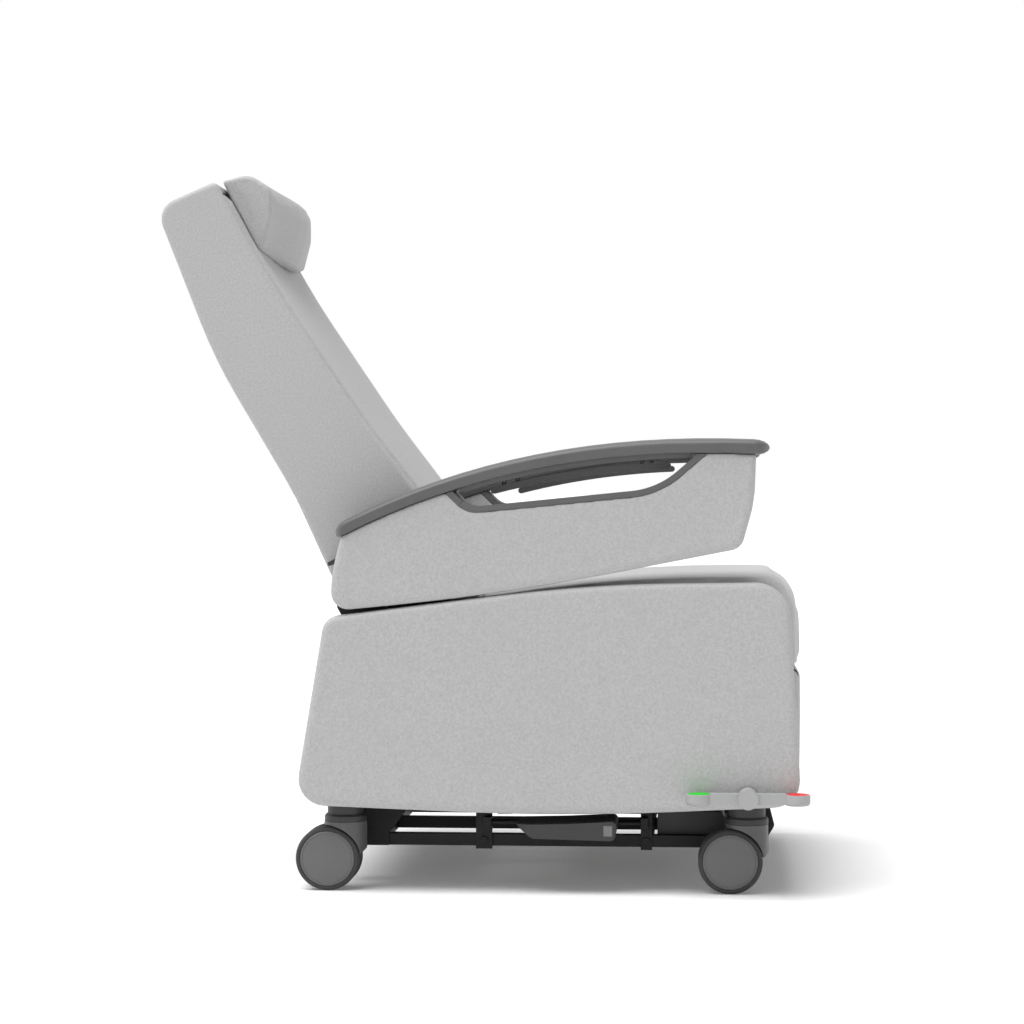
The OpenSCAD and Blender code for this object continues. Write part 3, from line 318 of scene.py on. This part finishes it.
def cover(name, node, voxel, smooth, closed=False):
    """A new closed skin over one CAD node: evenly spaced points drawn onto its surface."""
    form = new_piece(name + "_form", nodes[node].data.copy())
    if closed:
        hull(form.data)
    piece = new_piece(name, form.data.copy())
    remesh = piece.modifiers.new("remesh", "REMESH")
    remesh.mode = "VOXEL"
    remesh.voxel_size = voxel
    remesh.use_smooth_shade = True
    first = piece.modifiers.new("first", "SMOOTH")
    first.factor = SMOOTHING
    first.iterations = FIRST_PASSES
    wrap = piece.modifiers.new("wrap", "SHRINKWRAP")
    wrap.target = form
    wrap.wrap_method = "NEAREST_SURFACEPOINT"
    rounder = piece.modifiers.new("smooth", "SMOOTH")
    rounder.factor = SMOOTHING
    rounder.iterations = smooth
    bake(piece)
    bpy.data.meshes.remove(form.data)
    return piece


def points(mesh):
    flat = np.empty(len(mesh.vertices) * 3)
    mesh.vertices.foreach_get("co", flat)
    return flat.reshape(-1, 3)


def write_points(mesh, places):
    mesh.vertices.foreach_set("co", np.ascontiguousarray(places, dtype=np.float32).ravel())
    mesh.update()


def stuff(piece, cap):
    """Blows the skin up as cloth with the pressure of its filling.

    Each point keeps the part of its move that goes outwards, cap at most, so edges stay put.
    """
    before = points(piece.data)
    inwards = piece.modifiers.new("inwards", "DISPLACE")
    inwards.strength = -SHRINK
    inwards.mid_level = 0
    bake(piece)
    start = points(piece.data)
    cloth = piece.modifiers.new("cloth", "CLOTH")
    cloth.settings.quality = CLOTH_QUALITY
    cloth.settings.use_pressure = True
    cloth.settings.uniform_pressure_force = PRESSURE
    cloth.settings.effector_weights.gravity = 0
    cloth.settings.tension_stiffness = STIFFNESS
    cloth.settings.compression_stiffness = STIFFNESS
    cloth.settings.bending_stiffness = BENDING
    cloth.point_cache.frame_start = 1
    cloth.point_cache.frame_end = CLOTH_FRAMES
    for number in range(1, CLOTH_FRAMES + 1):
        scene.frame_set(number)
    graph = bpy.context.evaluated_depsgraph_get()
    swollen = bpy.data.meshes.new_from_object(piece.evaluated_get(graph))
    outwards = (before - start) / SHRINK
    lift = np.sum((points(swollen) - start) * outwards, axis=1, keepdims=True)
    piece.modifiers.clear()
    write_points(piece.data, start + outwards * np.clip(lift, 0, cap))
    bpy.data.meshes.remove(swollen)
    scene.frame_set(1)


def keep_inside(piece, node, low=(0, 0, 0), high=(0, 0, 0)):
    """Holds the piece in its node's box, let out by low and high on the free sides."""
    a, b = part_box(node)
    floor = np.array(a) - np.array(low)
    roof = np.array(b) + np.array(high)
    write_points(piece.data, np.clip(points(piece.data), floor, roof))


def soft_finish(piece, body, node, levels=1):
    for face in piece.data.polygons:
        face.use_smooth = True
    if levels:
        finer = piece.modifiers.new("finer", "SUBSURF")
        finer.levels = levels
        finer.render_levels = levels
        bake(piece)
        for face in piece.data.polygons:
            face.use_smooth = True
    piece.data.materials.clear()
    piece.data.materials.append(FINISHES["upholstery"])
    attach(piece, body)
    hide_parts(node)


# Name, CAD node, body, voxel, smoothing, most swelling or 0 for a firm panel, and fill
PADS = [
    ("seat_cushion_cover", "seat_cushion", "base", 0.006, 2, 0.004, 0.8),
    ("legrest_cover", "footrest_pad", "footrest", 0.006, 2, 0.002, 0.8),
    ("back_pad_cover", "back_cushion", "back", 0.006, 2, 0.004, 0.8),
    ("headrest_cover", "headrest", "headrest", 0.004, 1, 0.0025, 0.85),
    ("back_shell_cover", "back_body", "back", 0.004, 2, 0, 0.9),
    ("base_panel_right", "base_side_right", "base", 0.004, 2, 0, 0.95),
    ("base_panel_left", "base_side_left", "base", 0.004, 2, 0, 0.95),
    ("rear_panel", "base_rear_cover", "base", 0.004, 2, 0, 0.95),
    ("arm_pad_right", "arm_panel_right", "arm_right", 0.003, 2, 0, 0.95),
    ("arm_pad_left", "arm_panel_left", "arm_left", 0.003, 2, 0, 0.95),
]
CUT_FOR_HINGES = "footrest_pad"
# How far a pad may stand out of its CAD box behind, ahead and above, and at its sides
ROOM_BEHIND = 0.002
ROOM_AHEAD = 0.006
ROOM_ASIDE = {"back_cushion": 0.004}
for name, node, body, voxel, smooth, cap, fill in PADS:
    piece = cover(name, node, voxel, smooth, closed=node == CUT_FOR_HINGES)
    if cap:
        stuff(piece, cap)
        side = ROOM_ASIDE.get(node, 0)
        keep_inside(piece, node, (ROOM_BEHIND, side, 0), (ROOM_AHEAD, side, ROOM_AHEAD))
    soft_finish(piece, body, node, 1 if cap else 0)

dress_hard_parts({row[1] for row in PADS})


# Floor, world and lamp
SKY = 0.32
FLOOR_GLOW = 0.12
FLOOR_REACH = 60
FLOOR_FAR = 400
KEY_FROM = (-0.27, -0.18, 1)
KEY_STRENGTH = 3.3
KEY_SPREAD = 50


def seen_rays(add, link):
    """1 for the rays that show a background: camera, glossy and transmission."""
    path = add("ShaderNodeLightPath")
    total = path.outputs["Is Camera Ray"]
    for kind in ("Is Glossy Ray", "Is Transmission Ray"):
        most = add("ShaderNodeMath")
        most.operation = "MAXIMUM"
        link(total, most.inputs[0])
        link(path.outputs[kind], most.inputs[1])
        total = most.outputs[0]
    return total


def add_floor():
    mesh = bpy.data.meshes.new("floor")
    near, far, side = -FLOOR_REACH, FLOOR_FAR, FLOOR_REACH
    corners = [(-side, near, 0), (side, near, 0), (side, far, 0), (-side, far, 0)]
    mesh.from_pydata(corners, [], [(0, 1, 2, 3)])
    floor = new_piece("floor", mesh)
    g = Graph("pale_floor")
    seen = seen_rays(g.tree.nodes.new, g.tree.links.new)
    fine = g.noise(3, 2.0)
    shade = g.blend(g.spread(fine, 0, 1), grey(0.9), grey(0.92))
    paint = g.add("BsdfDiffuse", {"Color": shade})
    glow = g.add("Emission", {"Color": (1, 1, 1, 1), "Strength": g.mul(seen, FLOOR_GLOW)})
    both = g.add("AddShader", {0: paint.outputs[0], 1: glow.outputs[0]})
    g.tree.links.new(both.outputs[0], g.output.inputs["Surface"])
    mesh.materials.append(g.material)


def add_world():
    world = bpy.data.worlds.new("studio")
    scene.world = world
    world.use_nodes = True
    tree = world.node_tree
    tree.nodes.clear()
    seen = seen_rays(tree.nodes.new, tree.links.new)
    level = tree.nodes.new("ShaderNodeMapRange")
    level.inputs["To Min"].default_value = SKY
    level.inputs["To Max"].default_value = 1.0
    tree.links.new(seen, level.inputs["Value"])
    sky = tree.nodes.new("ShaderNodeBackground")
    sky.inputs["Color"].default_value = (1, 1, 1, 1)
    tree.links.new(level.outputs["Result"], sky.inputs["Strength"])
    out = tree.nodes.new("ShaderNodeOutputWorld")
    tree.links.new(sky.outputs[0], out.inputs["Surface"])


def add_lamp(name, source, strength, spread):
    """Far lamp whose light comes from the direction given."""
    data = bpy.data.lights.new(name, "SUN")
    data.energy = strength
    data.angle = math.radians(spread)
    lamp = bpy.data.objects.new(name, data)
    lamp.rotation_euler = Vector(source).to_track_quat("Z", "Y").to_euler()
    scene.collection.objects.link(lamp)


add_floor()
add_world()
add_lamp("key_lamp", KEY_FROM, KEY_STRENGTH, KEY_SPREAD)
